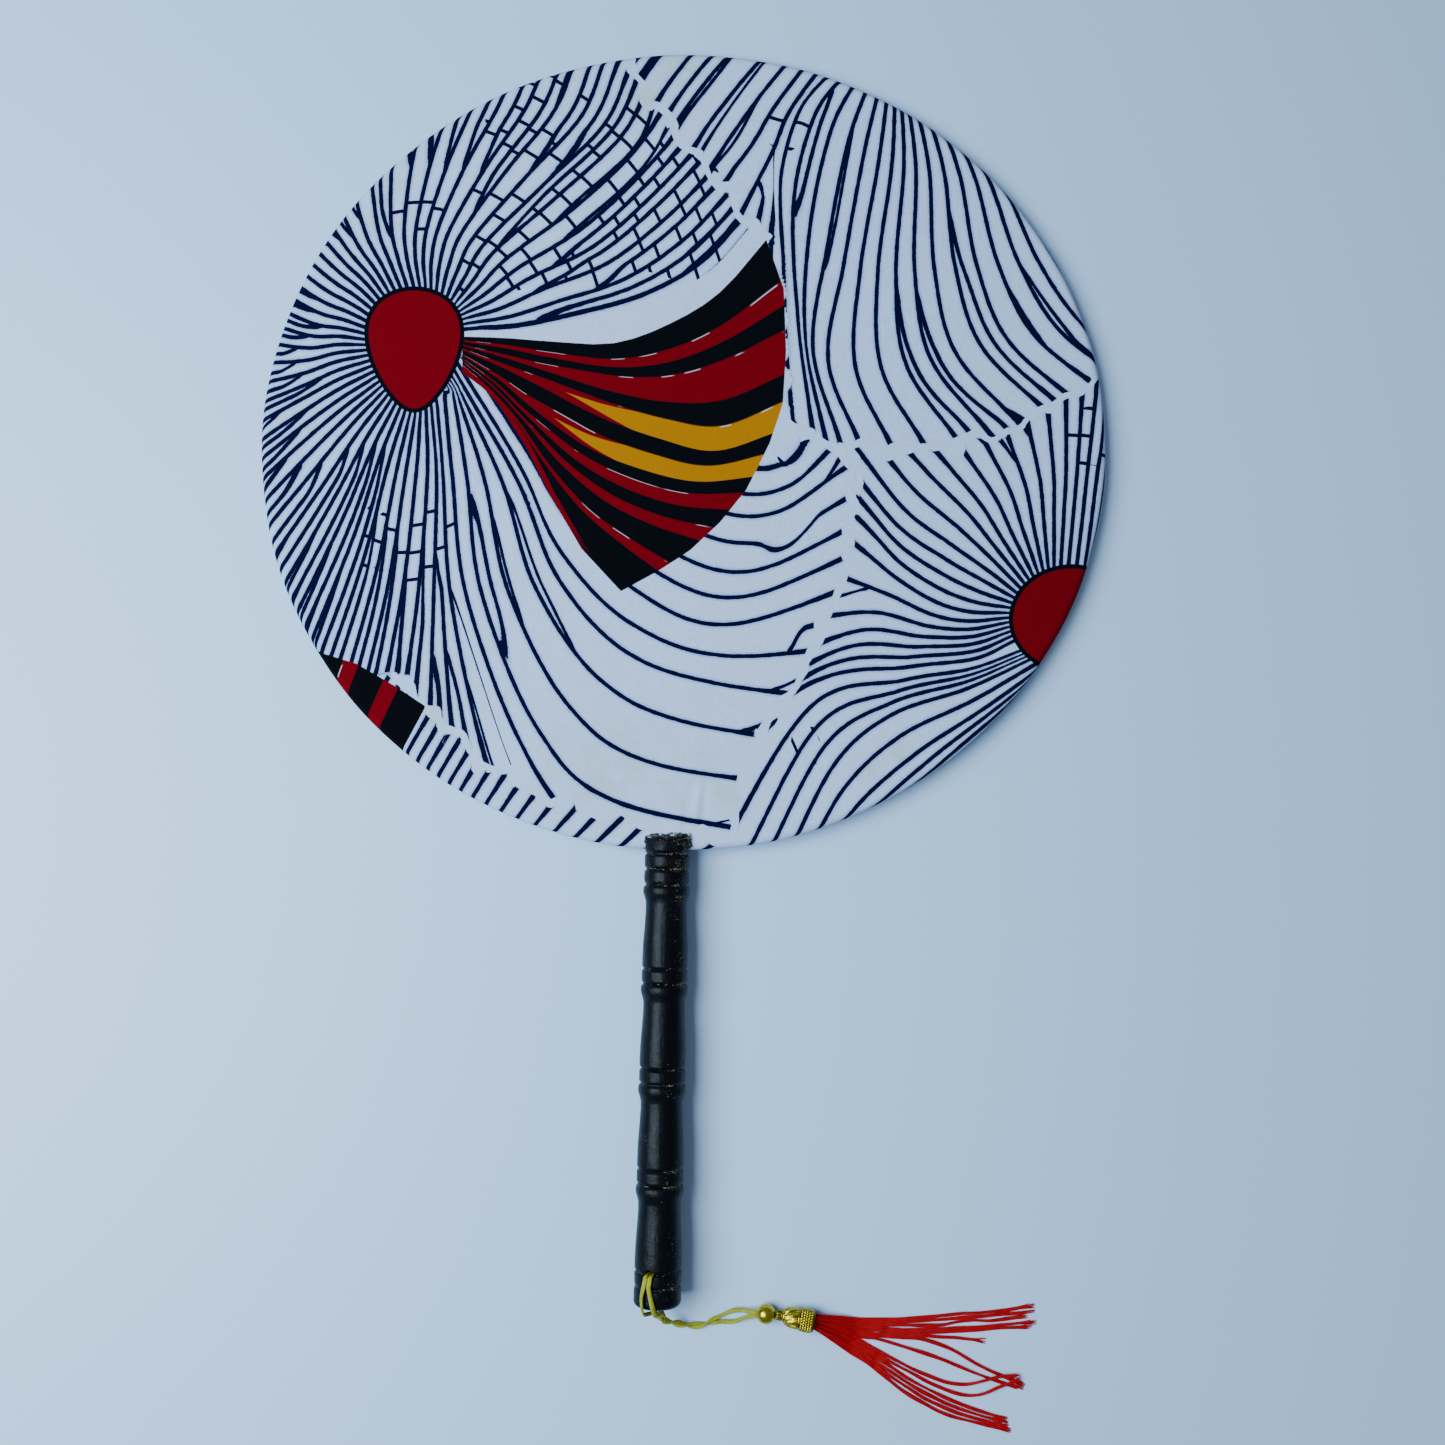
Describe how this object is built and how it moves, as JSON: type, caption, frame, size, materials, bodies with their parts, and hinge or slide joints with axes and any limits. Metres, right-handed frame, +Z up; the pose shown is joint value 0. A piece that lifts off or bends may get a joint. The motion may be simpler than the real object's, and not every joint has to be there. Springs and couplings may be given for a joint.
{
  "type": "round hand fan with tassel",
  "caption": "Rigid round hand fan: cotton-covered card disc on a turned black wooden handle, with a cord, gold beads and a red yarn tassel.",
  "frame": {"origin": "centre of the fan's box in plan, without the cord and tassel, at the table it lies on", "axes": "+Z up from the table, out of the blade's front; +Y from the handle towards the blade; +X to the right seen from the front"},
  "size_m": [0.256, 0.4147, 0.0176],
  "materials": {
    "front_cloth": "plain-woven cotton, printed",
    "back_cloth": "plain-woven cotton, printed",
    "board": "plain grey board",
    "handle_paint": "turned wood in gloss black paint, worn in the grooves",
    "bare_wood": "plain split bamboo",
    "glue": "dried glue with paint on it",
    "cord": "twisted waxed cord",
    "gilt": "bright gilt",
    "yarn": "soft yarn"
  },
  "bodies": {
    "fan": {"front_cover": "front_cloth", "back_cover": "back_cloth", "front_board": "board", "back_board": "board", "tongue": "bare_wood", "handle": "handle_paint", "glue_front": "glue", "glue_back": "glue", "hitch_strand_left": "cord", "hitch_strand_right": "cord"},
    "knot": {"hitch_knot": "cord"},
    "tassel": {"tassel_cord": "cord", "bead_cap": "gilt", "tassel_head": "yarn", "thread_01": "yarn", "thread_02": "yarn", "thread_03": "yarn", "thread_04": "yarn", "thread_05": "yarn", "thread_06": "yarn", "thread_07": "yarn", "thread_08": "yarn", "thread_09": "yarn", "thread_10": "yarn", "thread_11": "yarn", "thread_12": "yarn", "thread_13": "yarn", "thread_14": "yarn"},
    "bead": {"ball_bead": "gilt"}
  },
  "joints": [
    {"name": "tassel_swing", "type": "hinge", "parent": "fan", "child": "knot", "pos_m": [-0.0011, -0.19202, 0.00789], "axis": [0, 0, 1], "range_deg": [-120, 45]},
    {"name": "tassel_lift", "type": "hinge", "parent": "knot", "child": "tassel", "pos_m": [-0.0011, -0.19202, 0.00789], "axis": [0, -1, 0], "range_deg": [0, 90]},
    {"name": "bead_spin", "type": "hinge", "parent": "tassel", "child": "bead", "pos_m": [0.0297, -0.1925, 0.00295], "axis": [1, 0, 0], "continuous": true}
  ]
}
